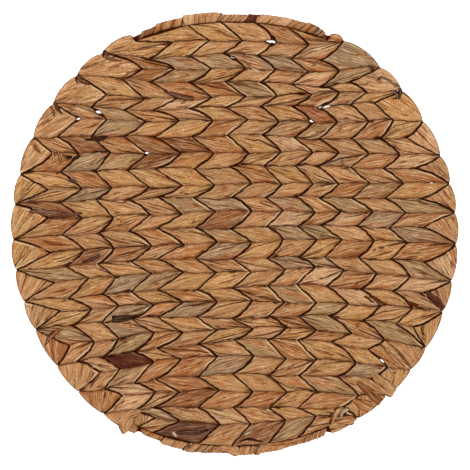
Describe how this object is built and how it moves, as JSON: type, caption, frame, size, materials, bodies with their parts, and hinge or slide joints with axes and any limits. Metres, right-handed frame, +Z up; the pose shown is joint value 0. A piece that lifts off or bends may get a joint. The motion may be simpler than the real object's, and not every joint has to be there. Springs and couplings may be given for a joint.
{
  "type": "placemat",
  "caption": "Round placemat woven from dried leaf in a herringbone of puffed strokes, with scalloped sides and leaf-wrapped rims along the top and bottom edges; lies flat under a plate.",
  "frame": {"origin": "under the middle of the mat's box, on the surface that it lies on", "axes": "+Z up through the mat's thickness, +Y toward the upper wrapped rim of the picture, +X to its right"},
  "size_m": [0.382, 0.3766, 0.0076],
  "materials": {
    "woven_leaf": "dry satin leaf fibre, uneven tan to dark brown",
    "wrapped_leaf": "dry satin leaf fibre, wound, tan to brown"
  },
  "bodies": {
    "root": {"woven_field": "woven_leaf", "rim_top": "wrapped_leaf", "rim_bottom": "wrapped_leaf"}
  },
  "joints": []
}
